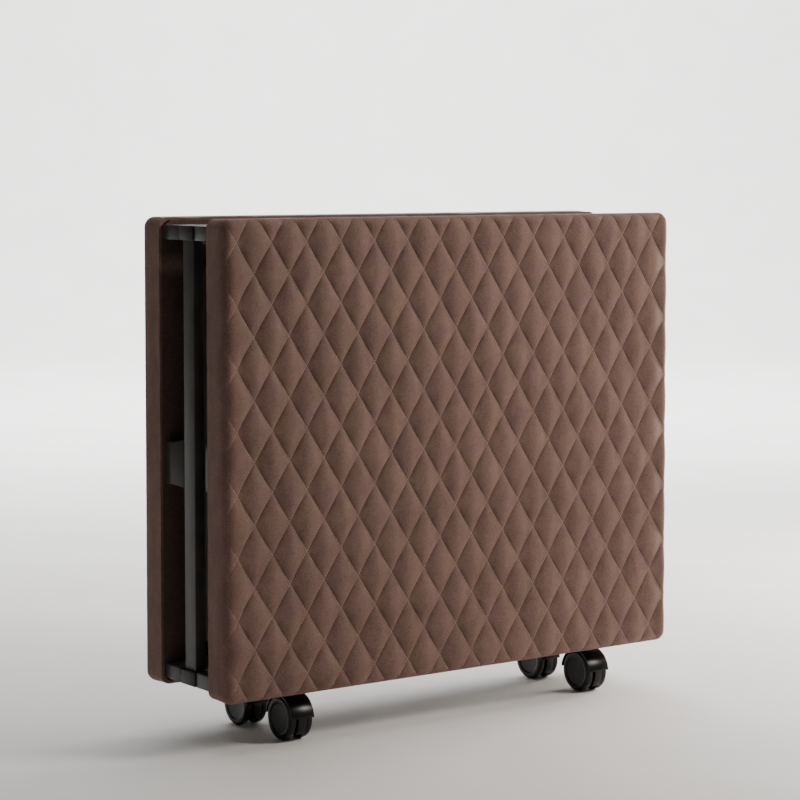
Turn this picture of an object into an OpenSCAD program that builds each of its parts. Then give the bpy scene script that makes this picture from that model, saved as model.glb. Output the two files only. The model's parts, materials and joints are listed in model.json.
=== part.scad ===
// Rollaway folding bed, standing folded on its casters.
// X runs along the bed's halves, Y from the front half to the rear half, Z is up.
// The hinge is at the +X end and the legs lie between the two halves.

/* [Bed] */
// Length of each half of the bed
half_length = 975; // [900:5:1170]
// Width of the bed, which is upright when the bed is folded
bed_width = 800; // [650:5:1000]
// Thickness of the cushion on each half
cushion_thickness = 46; // [30:1:70]
// Radius of the cushion's four corners, seen from its face
corner_radius = 24; // [10:1:40]
// Thickness of the board under the cushion
board_thickness = 12; // [8:1:18]
// How far the board stops short of the cushion's edge
board_inset = 3; // [1:1:8]
// Space between the two frames, where the legs lie
leg_space = 52; // [48:1:70]

/* [Frame tubes] */
// Depth of a side rail, from the board to the leg space
rail_depth = 50; // [40:1:60]
// Height of a side rail, across the bed's width
rail_height = 25; // [20:1:35]
// Distance from the cushion's long edge to the rail
rail_inset = 10; // [4:1:25]
// Distance from the cushion's end to the rail's plug
rail_end_inset = 6; // [4:1:15]
// Wall of every tube
tube_wall = 1.5; // [1:0.1:2.5]
// Width of a cross tube
cross_width = 25; // [20:1:35]
// Depth of a cross tube
cross_depth = 30; // [20:1:38]

/* [Legs] */
// Distance from a leg's pivot to the floor
leg_length = 290; // [240:5:330]
// Width of the leg tube, across the leg space
leg_width = 34; // [30:1:44]
// Thickness of the leg tube
leg_thickness = 20; // [16:1:25]
// Distance from the cushion's end to the sole of the front leg
sole_inset = 4; // [2:1:15]
// Distance between the soles of the front and the rear leg
leg_stagger = 36; // [32:1:60]
// Thickness of a foot's sole
sole_thickness = 6; // [3:1:9]
// Distance along a leg from its pivot to the tie rod's pivot
rod_crank = 70; // [50:5:100]
// Width of a tie rod
rod_width = 16; // [14:1:18]
// Thickness of a tie rod
rod_thickness = 4; // [3:0.5:6]

/* [Pivots] */
// Thickness of the hinge plates and leg brackets
plate_thickness = 5; // [4:0.5:8]
// Radius of the round end of a hinge plate
knuckle_radius = 14; // [12:1:18]
// Diameter of the main hinge pins
hinge_pin_diameter = 12; // [8:1:14]
// Diameter of the leg pivot pins
leg_pin_diameter = 10; // [6:1:12]
// Diameter of the tie rod pins
rod_pin_diameter = 7; // [5:0.5:8]
// Running clearance of a pin, on the radius
pin_clearance = 0.05; // [0.03:0.01:0.1]
// Clearance on the radius where a tie rod joins a leg
loose_clearance = 0.5; // [0.4:0.1:0.8]

/* [Casters] */
// Height of a caster, from the floor to the rail
caster_height = 100; // [98:1:125]
// Diameter of a caster wheel
wheel_diameter = 75; // [60:1:78]
// Width of each of a caster's two wheels
wheel_width = 14; // [10:1:16]
// Space between a caster's two wheels
wheel_space = 18; // [14:1:20]
// Distance from the swivel axis to the axle
caster_trail = 13; // [8:1:13]
// Distance from the swivel axis to the middle of the bed's depth
swivel_offset = 57.5; // [57:0.5:59]
// Distance from the opening end of the bed to the first swivel axis
caster_inset = 165; // [120:1:190]
// Distance from the hinge end of the bed to the other swivel axis
hinge_caster_inset = 148; // [120:1:190]
// Diameter of the axle
axle_diameter = 8; // [6:1:10]
// Diameter of the swivel stem
stem_diameter = 10; // [8:1:12]

/* [Hidden] */
$fn = 48;

front = -1;
rear = 1;
left = -1;
right = 1;

cloth_colour = "#5d443b";
steel_colour = "#3b3835";
plastic_colour = "#151515";
zinc_colour = "#8c8c8c";
board_colour = "#4a3a30";

// small gaps and edges
slack = 1;              // between pieces that pass each other
layer_gap = 2;          // between a tie rod and the tubes beside it
foot_gap = 3;           // between a foot and the rails beside it
plug_flange = 3;
plug_depth = 18;
bore_reach = 1;         // how far a cutting tool passes the face it cuts

pivot_overhang = 18;    // of a leg tube past its pivot

// places along X
hinge_x = (half_length + slack - max(knuckle_radius, pivot_overhang)) / 2;
right_x = hinge_x - slack;
left_x = right_x - half_length;
front_pivot_x = left_x + sole_inset + leg_length;
rear_pivot_x = front_pivot_x + leg_stagger;
end_tube_x = left_x + 130;              // clear of the front leg's foot bar
hinge_tube_x = right_x - 150;           // clear of the hinge plates

// places along Y, of the rear half
rail_y = leg_space / 2;
board_y = rail_y + rail_depth;
cushion_y = board_y + board_thickness;

// places along Z, of the lower side
bottom_z = caster_height - rail_inset;
middle_z = bottom_z + bed_width / 2;
rail_z = caster_height;
frame_z = rail_z + rail_height;
front_leg_z = frame_z + plate_thickness + slack;
rod_z = front_leg_z + leg_thickness + layer_gap;
rear_leg_z = rod_z + rod_thickness + layer_gap;
rear_plate_z = rear_leg_z + leg_thickness + slack;
rear_hinge_z = frame_z + plate_thickness + slack;

// legs
front_foot_length = rail_height;
inner_foot_length = 12;
foot_width = leg_space - 2 * foot_gap;
rod_pivot_y = rod_width / 2 + layer_gap;

// brackets, pins and bolts
bracket_half = 40;
bracket_web = 6;
bracket_web_y = rail_y + 4;
middle_tube_offset = 60;
pin_head = 4;
pin_head_rim = 3;
bolt_diameter = 6;
bolt_head_diameter = 12;
bolt_head_height = 2.5;
bolt_hole_play = 0.4;
bolt_bite = 8;
bolt_count = 5;
bolt_end_distance = 50;
bolt_spacing = (half_length - 2 * bolt_end_distance) / (bolt_count - 1);

// hinge plates
hinge_plate_length = 110;
hinge_plate_end_gap = 9;
hinge_heel = 60;            // where the plate leaves the rail for the hinge axis
hinge_step = 4;
knuckle_blend = 0.68;       // where the plate's edges meet the round end, in its radius
pivot_nose_wall = 11;

// grip at the opening end
grip_height = 72;
grip_flare = 82;
grip_face = 21;
grip_lip = 20;
grip_lip_run = 10;
grip_thickness = 3;
grip_foot = 50;
grip_inset = 9.5;
grip_drop = 17;         // below the middle of the bed's width

// casters
caster_plate_length = 56;
caster_plate_width = 36;
caster_plate_thickness = 3;
cup_height = 9;
cup_diameter = 32;
hood_gap = 1;
hood_wall = 2.5;
fork_width = wheel_space - 2 * slack;
wheel_axle_z = wheel_diameter / 2;
hood_radius = wheel_axle_z + hood_gap + hood_wall;
hood_skirt = 4;         // height of the hood's rim above the axle
neck_diameter = 28;
caster_screw_diameter = 5;
caster_screw_head = 9;
caster_screw_x = 22;
caster_screw_y = 12;
caster_screw_bite = 6;
wheel_edge = 3;
wheel_dish = 1.5;
wheel_rim = 10;
wheel_dish_diameter = wheel_diameter - 2 * wheel_rim;
wheel_cap = 2;          // wheel left outside the end of the axle

// placing

// the lower copy and its mirror image on the upper side of the bed
module both_sides() {
    children();
    translate([0, 0, 2 * middle_z]) mirror([0, 0, 1]) children();
}

// a piece drawn for the rear half, on the half that is asked for
module on_half(half) {
    if (half == rear) children();
    else mirror([0, 1, 0]) children();
}

module upright(x, y, z, diameter, height) {
    translate([x, y, z]) cylinder(d = diameter, h = height);
}

module box_between(low, high) {
    translate(low) cube(high - low);
}

// an upright plate facing along Y, with its four corners round
module rounded_plate(low, high, radius) {
    size = high - low;
    translate([low.x, high.y, low.z]) rotate([90, 0, 0]) linear_extrude(size.y) {
        translate([0, radius]) square([size.x, size.z - 2 * radius]);
        translate([radius, 0]) square([size.x - 2 * radius, size.z]);
        for (x = [radius, size.x - radius], z = [radius, size.z - radius])
            translate([x, z]) circle(r = radius);
    }
}

// each half

module cushion(half) {
    color(cloth_colour) on_half(half)
        rounded_plate([left_x, cushion_y, bottom_z],
                      [right_x, cushion_y + cushion_thickness, bottom_z + bed_width],
                      corner_radius);
}

module bolt_holes() {
    for (i = [0 : bolt_count - 1])
        translate([left_x + bolt_end_distance + i * bolt_spacing, rail_y - bore_reach,
                   rail_z + rail_height / 2])
            rotate([-90, 0, 0])
                cylinder(d = bolt_diameter + bolt_hole_play,
                         h = rail_depth + bolt_bite + bore_reach + bolt_hole_play);
}

module board(half) {
    color(board_colour) on_half(half)
        difference() {
            rounded_plate([left_x + board_inset, board_y, bottom_z + board_inset],
                          [right_x - board_inset, cushion_y, bottom_z + bed_width - board_inset],
                          corner_radius);
            both_sides() bolt_holes();
        }
}

module lower_rail_shape() {
    start = left_x + rail_end_inset + plug_flange;
    end = right_x - rail_end_inset - plug_flange;
    difference() {
        box_between([start, rail_y, rail_z], [end, board_y, frame_z]);
        box_between([start - bore_reach, rail_y + tube_wall, rail_z + tube_wall],
                    [end + bore_reach, board_y - tube_wall, frame_z - tube_wall]);
        bolt_holes();
        for (end_side = [left, right])
            translate([caster_x(end_side), swivel_offset, rail_z - bore_reach])
                caster_screw_places()
                    cylinder(d = caster_screw_diameter + bolt_hole_play,
                             h = tube_wall + 2 * bore_reach);
    }
}

module lower_rail(half) {
    color(steel_colour) on_half(half) lower_rail_shape();
}

module upper_rail(half) {
    color(steel_colour) on_half(half)
        translate([0, 0, 2 * middle_z]) mirror([0, 0, 1]) lower_rail_shape();
}

// an upright tube between the two rails, against the board
module cross_tube(half, x) {
    low = [x - cross_width / 2, board_y - cross_depth, frame_z];
    high = [x + cross_width / 2, board_y, 2 * middle_z - frame_z];
    wall = [tube_wall, tube_wall, -bore_reach];
    color(steel_colour) on_half(half)
        difference() {
            box_between(low, high);
            box_between(low + wall, high - wall);
        }
}

module plug() {
    start = left_x + rail_end_inset;
    wall = tube_wall + pin_clearance;
    box_between([start, rail_y, rail_z], [start + plug_flange, board_y, frame_z]);
    box_between([start + plug_flange, rail_y + wall, rail_z + wall],
                [start + plug_flange + plug_depth, board_y - wall, frame_z - wall]);
}

module rail_plugs(half) {
    color(plastic_colour) on_half(half) both_sides() {
        plug();
        translate([left_x + right_x, 0, 0]) mirror([1, 0, 0]) plug();
    }
}

// the flat of a hinge plate, from the rail to the round end at the hinge axis
module hinge_plate_outline() {
    start = right_x - hinge_plate_length;
    end = right_x - hinge_plate_end_gap;
    corner = knuckle_radius * knuckle_blend;
    difference() {
        union() {
            polygon([
                [start, board_y], [end, board_y],
                [end, rail_y + hinge_step], [hinge_x + corner, corner],
                [hinge_x - corner, -corner], [right_x - hinge_heel, rail_y],
                [start, rail_y]
            ]);
            translate([hinge_x, 0]) circle(r = knuckle_radius);
        }
        translate([hinge_x, 0]) circle(d = hinge_pin_diameter + 2 * pin_clearance);
    }
}

module hinge_plates(half) {
    color(steel_colour) on_half(half) both_sides() {
        if (half == front)
            translate([0, 0, frame_z]) linear_extrude(plate_thickness) hinge_plate_outline();
        else {
            translate([0, 0, rear_hinge_z]) linear_extrude(plate_thickness) hinge_plate_outline();
            box_between([right_x - hinge_plate_length, rail_y + hinge_step, frame_z],
                        [right_x - hinge_plate_end_gap, board_y, rear_hinge_z]);
        }
    }
}

// the flat of a leg bracket that reaches out to the leg's pivot
module pivot_outline(x, from_y) {
    nose = leg_pin_diameter / 2 + pivot_nose_wall;
    difference() {
        union() {
            polygon([
                [x - bracket_half, from_y], [x + bracket_half, from_y],
                [x + bracket_half, bracket_web_y], [x + nose, 0],
                [x - nose, 0], [x - bracket_half, bracket_web_y]
            ]);
            translate([x, 0]) circle(r = nose);
        }
        translate([x, 0]) circle(d = leg_pin_diameter);
    }
}

module leg_brackets(half) {
    color(steel_colour) on_half(half) both_sides() {
        if (half == front)
            translate([0, 0, frame_z])
                linear_extrude(plate_thickness) pivot_outline(front_pivot_x, board_y);
        else {
            low_x = rear_pivot_x - bracket_half;
            high_x = rear_pivot_x + bracket_half;
            web_end = bracket_web_y + bracket_web;
            box_between([low_x, bracket_web_y, frame_z],
                        [high_x, board_y, frame_z + plate_thickness]);
            box_between([low_x, bracket_web_y, frame_z], [high_x, web_end, rear_plate_z]);
            translate([0, 0, rear_plate_z])
                linear_extrude(plate_thickness) pivot_outline(rear_pivot_x, web_end);
        }
    }
}

// folded plate at the opening end, with a lip that leans in and widens
module grip(half) {
    start = left_x + grip_inset;
    bend_y = board_y - grip_face;
    tip_y = bend_y - grip_lip;
    color(steel_colour) on_half(half) translate([0, 0, middle_z - grip_drop]) {
        translate([0, 0, -grip_height / 2]) linear_extrude(grip_height)
            polygon([
                [start, board_y], [start + grip_foot, board_y],
                [start + grip_foot, board_y - grip_thickness],
                [start + grip_thickness, board_y - grip_thickness],
                [start + grip_thickness, bend_y], [start, bend_y]
            ]);
        intersection() {
            translate([0, 0, -grip_flare / 2]) linear_extrude(grip_flare)
                polygon([
                    [start, bend_y], [start + grip_thickness, bend_y],
                    [start + grip_lip_run + grip_thickness, tip_y],
                    [start + grip_lip_run, tip_y]
                ]);
            translate([start - bore_reach, 0, 0]) rotate([90, 0, 90])
                linear_extrude(grip_lip_run + grip_thickness + 2 * bore_reach)
                    polygon([
                        [bend_y, grip_height / 2], [bend_y, -grip_height / 2],
                        [tip_y, -grip_flare / 2], [tip_y, grip_flare / 2]
                    ]);
        }
    }
}

module frame_bolt() {
    rotate([-90, 0, 0]) {
        cylinder(d = bolt_diameter, h = rail_depth + bolt_bite);
        translate([0, 0, -bolt_head_height]) cylinder(d = bolt_head_diameter, h = bolt_head_height);
    }
}

module caster_screw_places() {
    for (across = [-1, 1], along = [-1, 1])
        translate([across * caster_screw_x, along * caster_screw_y, 0]) children();
}

module bolts(half) {
    color(zinc_colour) on_half(half) {
        both_sides()
            for (i = [0 : bolt_count - 1])
                translate([left_x + bolt_end_distance + i * bolt_spacing, rail_y,
                           rail_z + rail_height / 2])
                    frame_bolt();
        for (end_side = [left, right])
            translate([caster_x(end_side), swivel_offset, rail_z - caster_plate_thickness])
                caster_screw_places() {
                    cylinder(d = caster_screw_diameter, h = caster_screw_bite);
                    translate([0, 0, -bolt_head_height])
                        cylinder(d = caster_screw_head, h = bolt_head_height);
                }
    }
}

// legs

// side tube of a leg: its pivot at pivot_x, its foot bar towards -X
module leg_tube(pivot_x, z, pin, rod_ys) {
    start = pivot_x - leg_length + sole_thickness + leg_thickness;
    low = [start, -leg_width / 2, z];
    high = [pivot_x + pivot_overhang, leg_width / 2, z + leg_thickness];
    wall = [-bore_reach, tube_wall, tube_wall];
    difference() {
        box_between(low, high);
        box_between(low + wall, high - wall);
        upright(pivot_x, 0, z - bore_reach, pin, leg_thickness + 2 * bore_reach);
        for (y = rod_ys)
            upright(pivot_x - rod_crank, y, z - bore_reach, rod_pin_diameter,
                    leg_thickness + 2 * bore_reach);
    }
}

module foot_bar(pivot_x, z) {
    face = pivot_x - leg_length + sole_thickness;
    low = [face, -leg_width / 2, z];
    high = [face + leg_thickness, leg_width / 2, 2 * middle_z - z];
    wall = [tube_wall, tube_wall, -bore_reach];
    color(steel_colour) difference() {
        box_between(low, high);
        box_between(low + wall, high - wall);
    }
}

module feet(pivot_x, z, length) {
    sole = pivot_x - leg_length;
    color(plastic_colour) both_sides()
        box_between([sole, -foot_width / 2, z],
                    [sole + sole_thickness + leg_thickness, foot_width / 2, z + length]);
}

module front_leg_tubes() {
    color(steel_colour) both_sides()
        leg_tube(front_pivot_x, front_leg_z, leg_pin_diameter + 2 * pin_clearance, [-rod_pivot_y]);
}

module rear_leg_tubes() {
    color(steel_colour) both_sides()
        leg_tube(rear_pivot_x, rear_leg_z, leg_pin_diameter + 2 * pin_clearance, [rod_pivot_y]);
}

module centre_leg_tubes() {
    color(steel_colour) both_sides()
        leg_tube(hinge_x, rear_leg_z, hinge_pin_diameter, [-rod_pivot_y, rod_pivot_y]);
}

// pins

module front_pivot_pins() {
    color(zinc_colour) both_sides() {
        upright(front_pivot_x, 0, frame_z, leg_pin_diameter, rod_z - layer_gap - frame_z);
        upright(front_pivot_x, 0, frame_z - pin_head, leg_pin_diameter + 2 * pin_head_rim, pin_head);
    }
}

module rear_pivot_pins() {
    top = rear_plate_z + plate_thickness;
    color(zinc_colour) both_sides() {
        upright(rear_pivot_x, 0, rear_leg_z, leg_pin_diameter, top - rear_leg_z);
        upright(rear_pivot_x, 0, top, leg_pin_diameter + 2 * pin_head_rim, pin_head);
    }
}

module front_rod_pins() {
    color(zinc_colour) both_sides()
        upright(front_pivot_x - rod_crank, -rod_pivot_y, front_leg_z, rod_pin_diameter,
                rod_z + rod_thickness - front_leg_z);
}

module rear_rod_pins() {
    color(zinc_colour) both_sides()
        upright(rear_pivot_x - rod_crank, rod_pivot_y, rod_z, rod_pin_diameter,
                rear_leg_z + leg_thickness - rod_z);
}

module centre_rod_pins() {
    head = rod_pin_diameter + 2 * pin_head_rim;
    color(zinc_colour) both_sides()
        for (y = [-rod_pivot_y, rod_pivot_y]) {
            upright(hinge_x - rod_crank, y, rod_z, rod_pin_diameter,
                    rear_leg_z + leg_thickness - rod_z);
            upright(hinge_x - rod_crank, y, rod_z - pin_head_rim, head, pin_head_rim);
        }
}

module hinge_pins() {
    top = rear_leg_z + leg_thickness;
    head = hinge_pin_diameter + 2 * pin_head_rim;
    color(zinc_colour) both_sides() {
        upright(hinge_x, 0, frame_z, hinge_pin_diameter, top - frame_z);
        upright(hinge_x, 0, frame_z - pin_head, head, pin_head);
        upright(hinge_x, 0, top, head, pin_head);
    }
}

module hinge_sleeves() {
    start = rear_hinge_z + plate_thickness + slack;
    color(zinc_colour) both_sides()
        difference() {
            upright(hinge_x, 0, start, hinge_pin_diameter + 2 * pin_head_rim, rear_leg_z - start);
            upright(hinge_x, 0, start - bore_reach, hinge_pin_diameter,
                    rear_leg_z - start + 2 * bore_reach);
        }
}

// tie rods

// flat bar with round ends, from the centre leg to an end leg
module tie_rods(half, pivot_x) {
    leg_end = pivot_x - rod_crank;
    fixed_end = hinge_x - rod_crank;
    color(steel_colour) on_half(half) both_sides()
        translate([0, rod_pivot_y, rod_z])
            linear_extrude(rod_thickness) difference() {
                union() {
                    translate([leg_end, -rod_width / 2]) square([fixed_end - leg_end, rod_width]);
                    for (x = [leg_end, fixed_end]) translate([x, 0]) circle(d = rod_width);
                }
                translate([leg_end, 0]) circle(d = rod_pin_diameter + 2 * loose_clearance);
                translate([fixed_end, 0]) circle(d = rod_pin_diameter + 2 * pin_clearance);
            }
}

// casters

function caster_x(end_side) =
    end_side == left ? left_x + caster_inset : right_x - hinge_caster_inset;

// a caster piece drawn around the swivel axis, standing on the floor
module at_caster(half, end_side) {
    on_half(half) translate([caster_x(end_side), swivel_offset, 0]) children();
}

// a round piece along the axle, between two distances from the caster's middle
module along_axle(diameter, from, to) {
    translate([from, caster_trail, wheel_axle_z])
        rotate([0, 90, 0]) cylinder(d = diameter, h = to - from);
}

module caster_plate(half, end_side) {
    top = rail_z - caster_plate_thickness;
    color(zinc_colour) at_caster(half, end_side)
        difference() {
            union() {
                box_between([-caster_plate_length / 2, -caster_plate_width / 2, top],
                            [caster_plate_length / 2, caster_plate_width / 2, rail_z]);
                upright(0, 0, top - cup_height, cup_diameter, cup_height);
            }
            upright(0, 0, top - cup_height - bore_reach, stem_diameter + 2 * pin_clearance,
                    cup_height + caster_plate_thickness + 2 * bore_reach);
            translate([0, 0, top - bore_reach]) caster_screw_places()
                cylinder(d = caster_screw_diameter + bolt_hole_play,
                         h = caster_plate_thickness + 2 * bore_reach);
        }
}

// hood over both wheels, web between them, neck and stem
module caster_fork(half, end_side) {
    cup_low = rail_z - caster_plate_thickness - cup_height;
    side = wheel_space / 2 + wheel_width;
    color(plastic_colour) at_caster(half, end_side)
        difference() {
            union() {
                difference() {
                    along_axle(2 * hood_radius, -side, side);
                    along_axle(2 * (hood_radius - hood_wall), -side - bore_reach, side + bore_reach);
                    box_between([-side - bore_reach, caster_trail - hood_radius - bore_reach,
                                 -hood_radius],
                                [side + bore_reach, caster_trail + hood_radius + bore_reach,
                                 wheel_axle_z + hood_skirt]);
                }
                difference() {
                    along_axle(2 * hood_radius - hood_wall, -fork_width / 2, fork_width / 2);
                    box_between([-fork_width, caster_trail - hood_radius, -hood_radius],
                                [fork_width, caster_trail + hood_radius, wheel_axle_z / 3]);
                }
                difference() {
                    upright(0, 0, wheel_axle_z, neck_diameter, cup_low - slack - wheel_axle_z);
                    along_axle(2 * (hood_radius - hood_wall), -side, side);
                }
                upright(0, 0, cup_low - hood_wall, stem_diameter,
                        rail_z - slack / 2 - cup_low + hood_wall);
            }
            along_axle(axle_diameter, -side, side);
        }
}

module caster_axle(half, end_side) {
    reach = wheel_space / 2 + wheel_width - wheel_cap - slack / 2;
    color(zinc_colour) at_caster(half, end_side) along_axle(axle_diameter, -reach, reach);
}

module caster_wheels(half, end_side) {
    inner = wheel_space / 2;
    outer = inner + wheel_width;
    color(plastic_colour) at_caster(half, end_side)
        for (turn = [0, 180])
            translate([0, caster_trail, wheel_axle_z]) rotate([0, 0, turn]) rotate([0, 90, 0])
                rotate_extrude() polygon([
                    [axle_diameter / 2 + pin_clearance, inner],
                    [wheel_axle_z - wheel_edge, inner],
                    [wheel_axle_z, inner + wheel_edge],
                    [wheel_axle_z, outer - wheel_edge],
                    [wheel_axle_z - wheel_edge, outer],
                    [wheel_dish_diameter / 2, outer],
                    [wheel_dish_diameter / 2 - wheel_dish, outer - wheel_dish],
                    [0, outer - wheel_dish],
                    [0, outer - wheel_cap],
                    [axle_diameter / 2 + pin_clearance, outer - wheel_cap]
                ]);
}

// every node

for (half = [front, rear]) {
    name = half == front ? "front_" : "rear_";
    cushion(half);
    board(half);
    lower_rail(half);
    upper_rail(half);
    cross_tube(half, end_tube_x);
    cross_tube(half, (half == front ? front_pivot_x : rear_pivot_x) + middle_tube_offset);
    cross_tube(half, hinge_tube_x);
    rail_plugs(half);
    hinge_plates(half);
    leg_brackets(half);
    grip(half);
    bolts(half);
    for (end_side = [left, right]) {
        caster = str(name, end_side == left ? "left_" : "right_");
        caster_plate(half, end_side);
        caster_fork(half, end_side);
        caster_axle(half, end_side);
        caster_wheels(half, end_side);
    }
}
centre_leg_tubes();
foot_bar(hinge_x, rear_leg_z + inner_foot_length);  // centre_foot_bar
feet(hinge_x, rear_leg_z, inner_foot_length);  // centre_feet
centre_rod_pins();
hinge_pins();
hinge_sleeves();
front_leg_tubes();
foot_bar(front_pivot_x, frame_z);  // front_foot_bar
feet(front_pivot_x, rail_z, front_foot_length);  // front_feet
front_pivot_pins();
front_rod_pins();
rear_leg_tubes();
foot_bar(rear_pivot_x, rear_leg_z + inner_foot_length);  // rear_foot_bar
feet(rear_pivot_x, rear_leg_z, inner_foot_length);  // rear_feet
rear_pivot_pins();
rear_rod_pins();
tie_rods(front, front_pivot_x);  // front_tie_rods
tie_rods(rear, rear_pivot_x);  // rear_tie_rods
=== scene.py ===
# Rollaway folding bed, folded on its casters: looks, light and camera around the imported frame.
import bpy
import bmesh
import json
import math
from mathutils import Matrix, Vector, noise


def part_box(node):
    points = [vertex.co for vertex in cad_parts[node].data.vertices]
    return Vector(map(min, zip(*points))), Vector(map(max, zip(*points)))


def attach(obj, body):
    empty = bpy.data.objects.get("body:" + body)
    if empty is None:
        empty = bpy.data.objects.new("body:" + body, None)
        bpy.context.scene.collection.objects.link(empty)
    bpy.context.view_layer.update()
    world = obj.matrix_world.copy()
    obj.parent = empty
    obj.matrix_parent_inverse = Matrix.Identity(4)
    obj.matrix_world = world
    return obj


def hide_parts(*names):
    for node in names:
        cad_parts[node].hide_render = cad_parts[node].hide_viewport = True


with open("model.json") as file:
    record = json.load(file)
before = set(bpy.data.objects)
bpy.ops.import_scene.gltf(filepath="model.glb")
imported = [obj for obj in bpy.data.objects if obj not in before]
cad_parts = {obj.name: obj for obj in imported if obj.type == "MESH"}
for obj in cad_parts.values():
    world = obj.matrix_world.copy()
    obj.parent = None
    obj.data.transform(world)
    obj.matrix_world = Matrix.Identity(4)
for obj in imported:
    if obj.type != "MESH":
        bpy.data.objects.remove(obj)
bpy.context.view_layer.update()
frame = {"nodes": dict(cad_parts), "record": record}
mm = 0.001


# small helpers

def hexColour(text):
    # sRGB hex to linear RGBA
    parts = [int(text[i:i + 2], 16) / 255 for i in (1, 3, 5)]
    return tuple(p / 12.92 if p <= 0.04045 else ((p + 0.055) / 1.055) ** 2.4 for p in parts) + (1.0,)


def addNode(tree, kind, settings=None, links=None):
    # one node, its settings by property or socket name, and what feeds its sockets
    node = tree.nodes.new(kind)
    for key, value in (settings or {}).items():
        if isinstance(key, str) and hasattr(node, key):
            setattr(node, key, value)
        else:
            node.inputs[key].default_value = value
    for key, source in (links or {}).items():
        tree.links.new(source, node.inputs[key])
    return node


def newMaterial(name, shader):
    material = bpy.data.materials.new(name)
    material.use_nodes = True
    tree = material.node_tree
    tree.nodes.clear()
    surface = addNode(tree, "ShaderNodeBsdfPrincipled", shader)
    output = addNode(tree, "ShaderNodeOutputMaterial")
    tree.links.new(surface.outputs["BSDF"], output.inputs["Surface"])
    coords = addNode(tree, "ShaderNodeTexCoord")
    return material, tree, surface, coords.outputs["Object"]


def colourRamp(tree, source, stops):
    ramp = addNode(tree, "ShaderNodeValToRGB", links={"Fac": source})
    while len(ramp.color_ramp.elements) < len(stops):
        ramp.color_ramp.elements.new(0.5)
    for element, (place, colour) in zip(ramp.color_ramp.elements, stops):
        element.position = place
        element.color = hexColour(colour) if isinstance(colour, str) else (colour,) * 3 + (1.0,)
    return ramp.outputs["Color"]


def perMetre(size):
    # texture scale for a pattern of this size in millimetres
    return 1.0 / (size * mm)


# materials

def brushedLeathercloth():
    # polyester cloth with a brushed polyurethane face: matt, mottled where the nap lies both ways
    # sizes of the patterns in millimetres, then the colours of flattened, even and raised nap
    look = {"nap": 26, "mottle": 140, "patch": 45, "grain": 1.6, "fleck": 2.4,
            "dark": "#533f3a", "mid": "#6f5851", "light": "#876e65"}
    material, tree, surface, place = newMaterial("brushed leathercloth", {
        "Roughness": 0.72, "Specular IOR Level": 0.35, "Sheen Weight": 0.25,
        "Sheen Roughness": 0.5, "Sheen Tint": hexColour("#c9a892")})
    streak = addNode(tree, "ShaderNodeMapping", {"Scale": (1.0, 1.0, 0.45)}, {"Vector": place})
    nap = addNode(tree, "ShaderNodeTexNoise", {"Scale": perMetre(look["nap"]), "Detail": 6.0,
                                               "Roughness": 0.62}, {"Vector": streak.outputs["Vector"]})
    mottle = addNode(tree, "ShaderNodeTexNoise", {"Scale": perMetre(look["mottle"]), "Detail": 3.0},
                     {"Vector": place})
    blend = addNode(tree, "ShaderNodeMix", {"data_type": "FLOAT", "Factor": 0.35},
                    {"A": nap.outputs["Fac"], "B": mottle.outputs["Fac"]})
    fleck = addNode(tree, "ShaderNodeTexNoise", {"Scale": perMetre(look["fleck"]), "Detail": 5.0,
                                                 "Roughness": 0.8}, {"Vector": place})
    worn = addNode(tree, "ShaderNodeMix", {"data_type": "FLOAT", "Factor": 0.6},
                   {"A": blend.outputs["Result"], "B": fleck.outputs["Fac"]})
    value = colourRamp(tree, worn.outputs["Result"],
                       [(0.36, look["dark"]), (0.5, look["mid"]), (0.64, look["light"])])
    patch = addNode(tree, "ShaderNodeTexNoise", {"Scale": perMetre(look["patch"]), "Detail": 3.0},
                    {"Vector": place})
    tint = colourRamp(tree, patch.outputs["Fac"], [(0.38, "#fdf0f4"), (0.62, "#fff8ea")])
    tinted = addNode(tree, "ShaderNodeMix", {"data_type": "RGBA", "blend_type": "MULTIPLY", 0: 1.0},
                     {6: value, 7: tint})
    colour = tinted.outputs[2]
    grain = addNode(tree, "ShaderNodeTexNoise", {"Scale": perMetre(look["grain"]), "Detail": 4.0,
                                                 "Roughness": 0.7}, {"Vector": place})
    rough = addNode(tree, "ShaderNodeMapRange", {"To Min": 0.62, "To Max": 0.82},
                    {"Value": grain.outputs["Fac"]})
    height = addNode(tree, "ShaderNodeMix", {"data_type": "FLOAT", "Factor": 0.4},
                     {"A": grain.outputs["Fac"], "B": nap.outputs["Fac"]})
    bump = addNode(tree, "ShaderNodeBump", {"Strength": 0.35, "Distance": 0.0008},
                   {"Height": height.outputs["Result"]})
    tree.links.new(colour, surface.inputs["Base Color"])
    tree.links.new(rough.outputs["Result"], surface.inputs["Roughness"])
    tree.links.new(bump.outputs["Normal"], surface.inputs["Normal"])
    return material


def polyesterThread():
    # bonded polyester thread: a slight shine on twisted strands
    material, tree, surface, place = newMaterial("bonded polyester thread", {
        "Roughness": 0.5, "Base Color": hexColour("#a58b7c"), "Sheen Weight": 0.2})
    twist = addNode(tree, "ShaderNodeTexNoise", {"Scale": perMetre(1.2), "Detail": 2.0}, {"Vector": place})
    colour = colourRamp(tree, twist.outputs["Fac"], [(0.3, "#8d7365"), (0.7, "#b39a8a")])
    tree.links.new(colour, surface.inputs["Base Color"])
    return material


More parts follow.
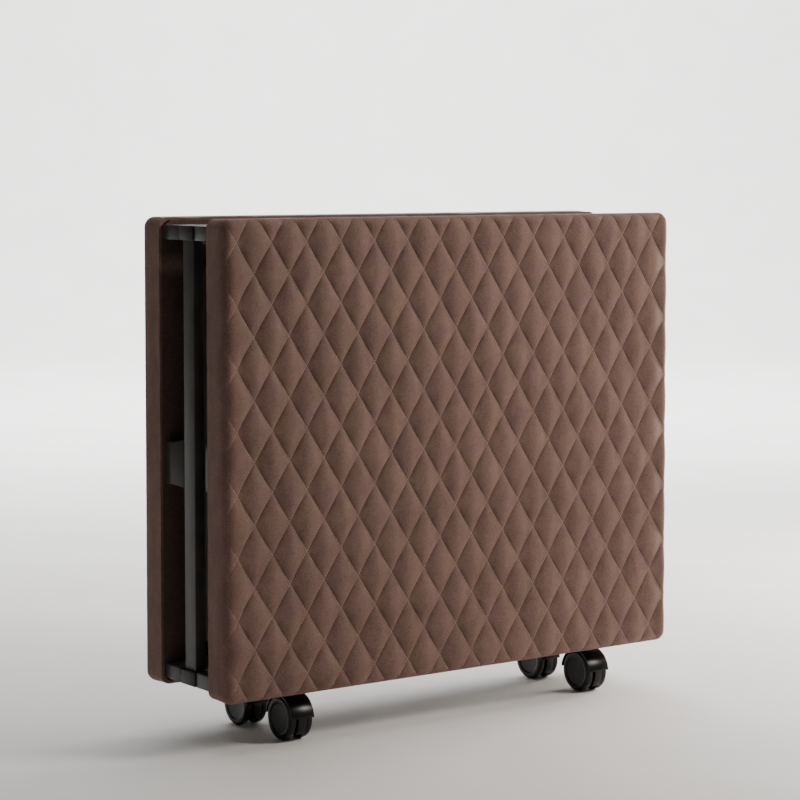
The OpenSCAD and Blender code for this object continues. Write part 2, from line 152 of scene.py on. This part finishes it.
def powderCoatedSteel():
    # steel tube sprayed with powder and baked: an even satin skin with a fine orange peel
    material, tree, surface, place = newMaterial("powder coated steel", {"Roughness": 0.42})
    peel = addNode(tree, "ShaderNodeTexNoise", {"Scale": perMetre(2.2), "Detail": 2.0}, {"Vector": place})
    cloud = addNode(tree, "ShaderNodeTexNoise", {"Scale": perMetre(60), "Detail": 4.0}, {"Vector": place})
    colour = colourRamp(tree, cloud.outputs["Fac"], [(0.35, "#3a3733"), (0.65, "#474440")])
    rough = addNode(tree, "ShaderNodeMapRange", {"To Min": 0.34, "To Max": 0.5},
                    {"Value": cloud.outputs["Fac"]})
    bump = addNode(tree, "ShaderNodeBump", {"Strength": 0.12, "Distance": 0.0003},
                   {"Height": peel.outputs["Fac"]})
    tree.links.new(colour, surface.inputs["Base Color"])
    tree.links.new(rough.outputs["Result"], surface.inputs["Roughness"])
    tree.links.new(bump.outputs["Normal"], surface.inputs["Normal"])
    return material


def zincPlatedSteel():
    # bright zinc plate over pressed steel: metallic, with cloudy crystals
    material, tree, surface, place = newMaterial("zinc plated steel", {"Metallic": 1.0, "Roughness": 0.3})
    cloud = addNode(tree, "ShaderNodeTexNoise", {"Scale": perMetre(7), "Detail": 5.0}, {"Vector": place})
    colour = colourRamp(tree, cloud.outputs["Fac"], [(0.3, "#8f8f90"), (0.7, "#b9b9b6")])
    rough = addNode(tree, "ShaderNodeMapRange", {"To Min": 0.22, "To Max": 0.42},
                    {"Value": cloud.outputs["Fac"]})
    tree.links.new(colour, surface.inputs["Base Color"])
    tree.links.new(rough.outputs["Result"], surface.inputs["Roughness"])
    return material


def polishedNylon():
    # injection moulded nylon from a polished tool: black and glossy, with faint scuffs
    material, tree, surface, place = newMaterial("polished black nylon", {
        "Base Color": hexColour("#070707"), "IOR": 1.5, "Specular IOR Level": 0.3})
    scuff = addNode(tree, "ShaderNodeTexNoise", {"Scale": perMetre(14), "Detail": 6.0,
                                                 "Roughness": 0.7}, {"Vector": place})
    rough = addNode(tree, "ShaderNodeMapRange", {"To Min": 0.22, "To Max": 0.4},
                    {"Value": scuff.outputs["Fac"]})
    colour = colourRamp(tree, scuff.outputs["Fac"], [(0.35, "#050505"), (0.75, "#0d0c0c")])
    tree.links.new(colour, surface.inputs["Base Color"])
    tree.links.new(rough.outputs["Result"], surface.inputs["Roughness"])
    return material


def texturedPolypropylene(name, dark, light, rough):
    # moulded from a spark eroded tool: an even dull face with a fine grain
    material, tree, surface, place = newMaterial(name, {"Roughness": rough})
    grain = addNode(tree, "ShaderNodeTexNoise", {"Scale": perMetre(0.9), "Detail": 2.0}, {"Vector": place})
    cloud = addNode(tree, "ShaderNodeTexNoise", {"Scale": perMetre(30), "Detail": 3.0}, {"Vector": place})
    colour = colourRamp(tree, cloud.outputs["Fac"], [(0.3, dark), (0.7, light)])
    bump = addNode(tree, "ShaderNodeBump", {"Strength": 0.3, "Distance": 0.0002},
                   {"Height": grain.outputs["Fac"]})
    tree.links.new(colour, surface.inputs["Base Color"])
    tree.links.new(bump.outputs["Normal"], surface.inputs["Normal"])
    return material


def dustCloth():
    # spunbonded polypropylene stapled over the board: flat and matt, with a fine pressed pattern
    material, tree, surface, place = newMaterial("spunbonded dust cloth", {
        "Roughness": 0.88, "Sheen Weight": 0.1})
    fibre = addNode(tree, "ShaderNodeTexNoise", {"Scale": perMetre(3), "Detail": 6.0,
                                                 "Roughness": 0.7}, {"Vector": place})
    cells = addNode(tree, "ShaderNodeTexVoronoi", {"Scale": perMetre(4)}, {"Vector": place})
    colour = colourRamp(tree, fibre.outputs["Fac"], [(0.35, "#41302a"), (0.65, "#57433a")])
    bump = addNode(tree, "ShaderNodeBump", {"Strength": 0.3, "Distance": 0.0004},
                   {"Height": cells.outputs["Distance"]})
    tree.links.new(colour, surface.inputs["Base Color"])
    tree.links.new(bump.outputs["Normal"], surface.inputs["Normal"])
    return material


cloth = brushedLeathercloth()
thread = polyesterThread()
steel = powderCoatedSteel()
zinc = zincPlatedSteel()
nylon = polishedNylon()
plastic = texturedPolypropylene("textured black polypropylene", "#0b0b0a", "#141312", 0.5)
plugPlastic = texturedPolypropylene("grey polypropylene plugs", "#3b3a37", "#484642", 0.38)
lining = dustCloth()
print("materials made")

slotLooks = {"quilted_leathercloth": cloth, "powder_coated_steel": steel, "zinc_plated_steel": zinc,
             "black_nylon": nylon, "black_moulded_plastic": plastic, "cloth_wrapped_board": lining}
for part in frame["record"]["subparts"]:
    node = frame["nodes"][part["node"]]
    for place in range(max(1, len(node.material_slots))):
        if not node.material_slots:
            node.data.materials.append(slotLooks[part["material_slot"]])
        else:
            node.material_slots[place].material = slotLooks[part["material_slot"]]


def pieceFrom(name, bm, material, smooth=None):
    # a finished mesh as an object at the origin
    mesh = bpy.data.meshes.new(name)
    bm.to_mesh(mesh)
    bm.free()
    piece = bpy.data.objects.new(name, mesh)
    bpy.context.scene.collection.objects.link(piece)
    mesh.materials.append(material)
    if smooth is not None:
        mesh.polygons.foreach_set("use_smooth", [True] * len(mesh.polygons))
        mesh.set_sharp_from_angle(angle=math.radians(smooth))
    return piece


# quilted cushions

quilt = {
    "wide": 70 * mm,        # a diamond's width along the half
    "tall": 104.4 * mm,     # a diamond's height over the bed's width
    "offset": (-9.8 * mm, -2.0 * mm),   # a seam crossing, from the cushion's middle
    "grow": 3 * mm,         # the soft cover stands out past the plain foam block
    "steps": 12,            # mesh steps along one side of a diamond
    "puff": 8.6 * mm,       # height of a pillow over its seams
    "fullness": 0.62,       # under 1 for pillows with flat tops and tight seams
    "ripple": 0.9 * mm,     # slow unevenness of the whole face
    "rippleRate": 9,        # ripples in a metre
    "crown": 1.5 * mm,      # how far the pillows stand over the foam block
    "edge": 18 * mm,        # radius of the cushion's edge
    "calmEnd": 34 * mm,     # the quilting fades out over this much of the face at the opening end
    "calmHinge": 14 * mm,   # over this much at the hinge end
    "calm": 8 * mm,         # and over this much at the long sides
    "skirt": 5.0 * mm,      # cloth and wadding beside the board
    "hem": 0.4 * mm,        # skirt stops short of the board's back
    "tuck": 0.2 * mm,       # the cover's end inside stops short of the board's face
    "sag": 1.4 * mm,        # waviness of the plain sides
    "sagRate": 14,          # waves in a metre
    "draw": 0.4 * mm,       # even pull of the sides between their edges
    "sides": ((0.35, 0.6), (0.7, 1.0), (1.0, 0.0)),     # share of the depth, share of the pull
    "seamReach": 0.45,      # how far the seams go round the edge, in its radius
    "stitch": 5.0 * mm,     # pitch of the stitching
    "stitchLong": 3.6 * mm,
    "stitchWide": 0.9 * mm,
    "stitchProud": 0.35 * mm,   # on the seams sewn last
    "stitchSunk": 0.05 * mm,    # on the seams that they cross
    "stitchFade": 0.45,     # no stitches where the quilting has faded below this
    "stitchReach": 0.4,     # how near the edge they come, in its radius
}


def cellEase(value):
    # crowds the mesh lines towards the seams
    whole = math.floor(value)
    part = value - whole
    return whole + 0.5 - 0.5 * math.cos(math.pi * part) * (0.75 + 0.25 * abs(math.cos(math.pi * part)))


def pillow(u, v):
    # height of the quilting at a place in diamond units, 0 on a seam and 1 at a pillow's middle
    a = math.sin(math.pi * (u - math.floor(u)))
    b = math.sin(math.pi * (v - math.floor(v)))
    return (max(a, 0) * max(b, 0)) ** quilt["fullness"]


def rippleAt(x, z, side):
    rate = quilt["rippleRate"]
    return noise.noise(Vector((x * rate, side * 3.1, z * rate))) * quilt["ripple"]


def wrap(x, z, half, edge):
    # where a point of the flat cloth lies once its rim is bent over the foam's edge
    arc = edge * math.pi / 2
    flatX, flatZ = half[0] - edge, half[1] - edge
    overX, overZ = max(abs(x) - flatX, 0), max(abs(z) - flatZ, 0)
    over = math.hypot(overX, overZ)
    if over < 1e-9:
        return x, z, 0.0
    turn = min(over, arc) / edge
    out = edge * math.sin(turn)
    px = math.copysign(min(abs(x), flatX) + out * overX / over, x)
    pz = math.copysign(min(abs(z), flatZ) + out * overZ / over, z)
    return px, pz, edge * (1 - math.cos(turn))


def seamFade(x, z, half, edge):
    # 1 over the face, falling to 0 where the cloth has turned onto the plain side
    fade = 1.0
    for reach, calm in ((half[0] + x, quilt["calmEnd"]), (half[0] - x, quilt["calmHinge"]),
                        (half[1] - abs(z), quilt["calm"])):
        part = min(max((reach + edge * quilt["seamReach"]) / (edge + calm), 0.0), 1.0)
        fade = min(fade, part * part * (3 - 2 * part))
    return fade


def quiltedCushion(name, side):
    low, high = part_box(name + "_cushion")
    boardLow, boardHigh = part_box(name + "_board")
    # the cover stands out on every side but the hinge end, where the two cushions meet when the bed is flat
    centre = (low + high) / 2 - Vector((quilt["grow"] / 2, 0, 0))
    half = ((high.x - low.x + quilt["grow"]) / 2, (high.z - low.z) / 2 + quilt["grow"])
    face = max(abs(low.y), abs(high.y)) + quilt["grow"]
    foot = min(abs(boardLow.y), abs(boardHigh.y))
    back = max(abs(boardLow.y), abs(boardHigh.y))
    edge = quilt["edge"]
    extra = edge * (math.pi / 2 - 1)
    wide, tall = quilt["wide"], quilt["tall"]
    offX, offZ = quilt["offset"]
    reach = math.ceil((half[0] + extra) / wide + (half[1] + extra) / tall) + 1
    count = 2 * reach * quilt["steps"]

    bm = bmesh.new()
    bmesh.ops.create_grid(bm, x_segments=count, y_segments=count, size=reach)
    for vert in bm.verts:
        u, v = cellEase(vert.co.x), cellEase(vert.co.y)
        vert.co = ((u + v) * wide / 2 + offX, (u - v) * tall / 2 + offZ, 0)
    rim = (half[0] + extra, half[1] + extra)
    for axis in (0, 1):
        for sign in (-1, 1):
            normal = Vector((0, 0, 0))
            normal[axis] = sign
            geom = bm.verts[:] + bm.edges[:] + bm.faces[:]
            bmesh.ops.bisect_plane(bm, geom=geom, plane_co=normal * rim[axis], plane_no=normal,
                                   clear_outer=True, dist=1e-6)
            for step in (0.25, 0.5, 0.75, 1.0):
                cut = normal * (rim[axis] - step * edge * math.pi / 2)
                geom = bm.verts[:] + bm.edges[:] + bm.faces[:]
                bmesh.ops.bisect_plane(bm, geom=geom, plane_co=cut, plane_no=normal, dist=1e-6)
    arc = edge * math.pi / 2
    flat = (half[0] - edge, half[1] - edge)
    spare = [f for f in bm.faces if all(
        math.hypot(max(abs(v.co.x) - flat[0], 0), max(abs(v.co.y) - flat[1], 0)) > arc + 1e-6
        for v in f.verts)]
    bmesh.ops.delete(bm, geom=spare, context="FACES")
    for vert in bm.verts:
        x, z = vert.co.x, vert.co.y
        u, v = (x - offX) / wide + (z - offZ) / tall, (x - offX) / wide - (z - offZ) / tall
        px, pz, drop = wrap(x, z, half, edge)
        fade = seamFade(x, z, half, edge)
        lift = (pillow(u, v) - 1) * quilt["puff"] * fade + quilt["crown"] * fade
        lift += rippleAt(x, z, side) * fade
        vert.co = (px, -(face - drop + lift), pz)
    bmesh.ops.remove_doubles(bm, verts=bm.verts[:], dist=0.05 * mm)

    # plain sides down to the board's back, then up inside the skirt to the board's face
    rate = quilt["sagRate"]
    for depth, pull in quilt["sides"]:
        rimEdges = [e for e in bm.edges if e.is_boundary]
        made = bmesh.ops.extrude_edge_only(bm, edges=rimEdges)["geom"]
        for vert in (g for g in made if isinstance(g, bmesh.types.BMVert)):
            wave = noise.noise(Vector((vert.co.x * rate, depth * 2, vert.co.z * rate))) * quilt["sag"] * pull
            across = Vector((math.copysign(max(abs(vert.co.x) - flat[0], 0), vert.co.x), 0,
                             math.copysign(max(abs(vert.co.z) - flat[1], 0), vert.co.z))).normalized()
            vert.co.y = -(face - edge) + depth * (face - edge - foot - quilt["hem"])
            vert.co -= across * (abs(wave) + quilt["draw"] * pull)
    for inset, level in ((quilt["skirt"], foot + quilt["hem"]), (0.0, back - quilt["tuck"])):
        rimEdges = [e for e in bm.edges if e.is_boundary]
        made = bmesh.ops.extrude_edge_only(bm, edges=rimEdges)["geom"]
        for vert in (g for g in made if isinstance(g, bmesh.types.BMVert)):
            vert.co.x -= math.copysign(min(inset, max(0, abs(vert.co.x) - flat[0])), vert.co.x)
            vert.co.z -= math.copysign(min(inset, max(0, abs(vert.co.z) - flat[1])), vert.co.z)
            vert.co.y = -level
    bmesh.ops.remove_doubles(bm, verts=bm.verts[:], dist=0.02 * mm)
    bmesh.ops.holes_fill(bm, edges=[e for e in bm.edges if e.is_boundary], sides=0)
    bmesh.ops.translate(bm, verts=bm.verts[:], vec=(centre.x, 0, centre.z))
    if side > 0:
        bmesh.ops.scale(bm, verts=bm.verts[:], vec=(1, -1, 1))
    bmesh.ops.recalc_face_normals(bm, faces=bm.faces[:])
    piece = pieceFrom(name + "_quilted_cushion", bm, cloth, 50)
    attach(piece, name + "_half")
    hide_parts(name + "_cushion")

    # lock stitches lying in the seams
    threads = bmesh.new()
    pitch = quilt["stitch"]
    length = math.hypot(wide / 2, tall / 2)
    near = edge * quilt["stitchReach"]
    for way in (1, -1):
        lean = math.atan2(way * tall, wide)
        proud = quilt["stitchSunk"] if way > 0 else quilt["stitchProud"]
        for line in range(-reach, reach + 1):
            steps = int(2 * reach * length / pitch)
            for step in range(steps):
                along = (step + 0.5) * pitch / length - reach
                u, v = (along, line) if way > 0 else (line, along)
                x, z = (u + v) * wide / 2 + offX, (u - v) * tall / 2 + offZ
                if abs(x) > half[0] - near or abs(z) > half[1] - near:
                    continue
                px, pz, drop = wrap(x, z, half, edge)
                fade = seamFade(x, z, half, edge)
                if fade < quilt["stitchFade"]:
                    continue
                level = face - drop - (quilt["puff"] - quilt["crown"]) * fade
                level += rippleAt(x, z, side) * fade
                place = Matrix.Translation((px + centre.x, -level - proud, pz + centre.z))
                turn = Matrix.Rotation(-lean, 4, "Y")
                size = Matrix.Diagonal((quilt["stitchLong"], quilt["stitchWide"], quilt["stitchWide"], 1))
                bmesh.ops.create_cube(threads, size=1, matrix=place @ turn @ size)
    if side > 0:
        bmesh.ops.scale(threads, verts=threads.verts[:], vec=(1, -1, 1))
        bmesh.ops.reverse_faces(threads, faces=threads.faces[:])
    stitching = pieceFrom(name + "_stitching", threads, thread)
    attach(stitching, name + "_half")
    print(name, "cushion", len(piece.data.polygons), "faces, stitching", len(stitching.data.polygons))


for halfName, halfSide in (("front", -1), ("rear", 1)):
    quiltedCushion(halfName, halfSide)


# metal and plastic with eased edges

def easedCopy(node, width, segments=2):
    # the CAD piece with its flat faces joined up and its edges broken as folding or moulding leaves them
    source = frame["nodes"][node]
    bm = bmesh.new()
    bm.from_mesh(source.data)
    bmesh.ops.remove_doubles(bm, verts=bm.verts[:], dist=0.01 * mm)
    bmesh.ops.dissolve_limit(bm, angle_limit=math.radians(0.5), verts=bm.verts[:], edges=bm.edges[:])
    sharp = [e for e in bm.edges if len(e.link_faces) == 2 and e.calc_face_angle(0) > math.radians(40)]
    bmesh.ops.bevel(bm, geom=sharp, offset=width, offset_type="OFFSET", affect="EDGES", segments=segments,
                    profile=0.5, material=-1, clamp_overlap=True)
    bmesh.ops.triangulate(bm, faces=[f for f in bm.faces if len(f.verts) > 4])
    slotName = next(p["material_slot"] for p in frame["record"]["subparts"] if p["node"] == node)
    body = next(name for name, nodes in frame["record"]["behaviour"]["bodies"].items() if node in nodes)
    look = plugPlastic if node.endswith("plugs") else slotLooks[slotName]
    piece = pieceFrom(node + "_finished", bm, look, 35)
    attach(piece, body)
    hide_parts(node)
    return piece


# how far each kind of piece has its edges broken, by the end of its name
edgeWidths = {"rail": 0.68 * mm, "tube": 0.68 * mm, "foot_bar": 2.2 * mm, "feet": 1.6 * mm, "plugs": 0.8 * mm,
              "grip": 0.8 * mm, "tie_rods": 0.4 * mm, "hinge_plates": 0.6 * mm, "leg_brackets": 0.6 * mm,
              "leg_tubes": 1.6 * mm, "fork": 0.7 * mm, "wheels": 1.0 * mm}
for part in frame["record"]["subparts"]:
    for ending, width in edgeWidths.items():
        if part["node"].endswith(ending):
            easedCopy(part["node"], width)
            break
print("frame finished")


# floor, light and camera

def areaLight(name, place, target, size, power, colour="#ffffff"):
    light = bpy.data.lights.new(name, "AREA")
    light.shape = "RECTANGLE"
    light.size, light.size_y = size
    light.energy = power
    light.color = hexColour(colour)[:3]
    lamp = bpy.data.objects.new(name, light)
    lamp.location = place
    lamp.rotation_euler = (Vector(target) - Vector(place)).to_track_quat("-Z", "Y").to_euler()
    bpy.context.scene.collection.objects.link(lamp)


def studio():
    # a pale sheet: floor under the bed, swept up into a wall far behind it
    look = {"start": 8.0, "bend": 3.0, "size": 22.0, "turn": 36.0, "world": 0.055}
    material, tree, surface, place = newMaterial("matt studio paper", {"Roughness": 0.9})
    speck = addNode(tree, "ShaderNodeTexNoise", {"Scale": 3.0, "Detail": 2.0}, {"Vector": place})
    colour = colourRamp(tree, speck.outputs["Fac"], [(0.3, "#f0efed"), (0.7, "#f5f4f2")])
    tree.links.new(colour, surface.inputs["Base Color"])
    bm = bmesh.new()
    bmesh.ops.create_grid(bm, x_segments=1, y_segments=160, size=look["size"])
    quarter = look["bend"] * math.pi / 2
    for vert in bm.verts:
        past = vert.co.y - look["start"]
        if past > 0:
            turn = min(past, quarter) / look["bend"]
            vert.co.y = look["start"] + look["bend"] * math.sin(turn)
            vert.co.z = look["bend"] * (1 - math.cos(turn)) + max(past - quarter, 0)
    bmesh.ops.rotate(bm, verts=bm.verts[:], matrix=Matrix.Rotation(-math.radians(look["turn"]), 3, "Z"))
    mesh = bpy.data.meshes.new("studio_paper")
    bm.to_mesh(mesh)
    bm.free()
    mesh.polygons.foreach_set("use_smooth", [True] * len(mesh.polygons))
    mesh.materials.append(material)
    paper = bpy.data.objects.new("studio_paper", mesh)
    bpy.context.scene.collection.objects.link(paper)
    world = bpy.data.worlds.new("studio")
    world.use_nodes = True
    world.node_tree.nodes["Background"].inputs["Color"].default_value = hexColour("#ffffff")
    world.node_tree.nodes["Background"].inputs["Strength"].default_value = look["world"]
    bpy.context.scene.world = world


studio()
areaLight("key_light", (1.75, -1.75, 1.95), (0.1, 0.0, 0.45), (0.9, 0.9), 62, "#fff6ee")
areaLight("rim_light", (2.5, 0.1, 0.75), (0.4, 0.0, 0.5), (0.8, 1.2), 60, "#fff6ee")
areaLight("top_light", (0.0, -0.2, 3.4), (0.0, 0.0, 0.5), (2.6, 2.0), 24)
areaLight("end_light", (-2.2, 0.1, 2.3), (-0.5, 0.0, 0.85), (0.2, 0.5), 2.2, "#fff0e2")
areaLight("wall_light", (2.6, 3.6, 5.2), (5.2, 7.1, 0.0), (9.0, 2.0), 1900)

# metres, degrees right of +Y, degrees down, millimetres, share of the frame
cameraSet = {"place": (-2.6087, -3.5157, 0.9800), "yaw": 36.078, "tilt": 3.623,
             "lens": 109.63, "sensor": 36, "shift": -0.10}
camera = bpy.data.cameras.new("camera")
camera.lens = cameraSet["lens"]
camera.sensor_width = cameraSet["sensor"]
camera.shift_y = cameraSet["shift"]
cameraObject = bpy.data.objects.new("camera", camera)
cameraObject.location = cameraSet["place"]
cameraObject.rotation_euler = (math.radians(90 - cameraSet["tilt"]), 0, -math.radians(cameraSet["yaw"]))
bpy.context.scene.collection.objects.link(cameraObject)
bpy.context.scene.camera = cameraObject
print("light and camera set")
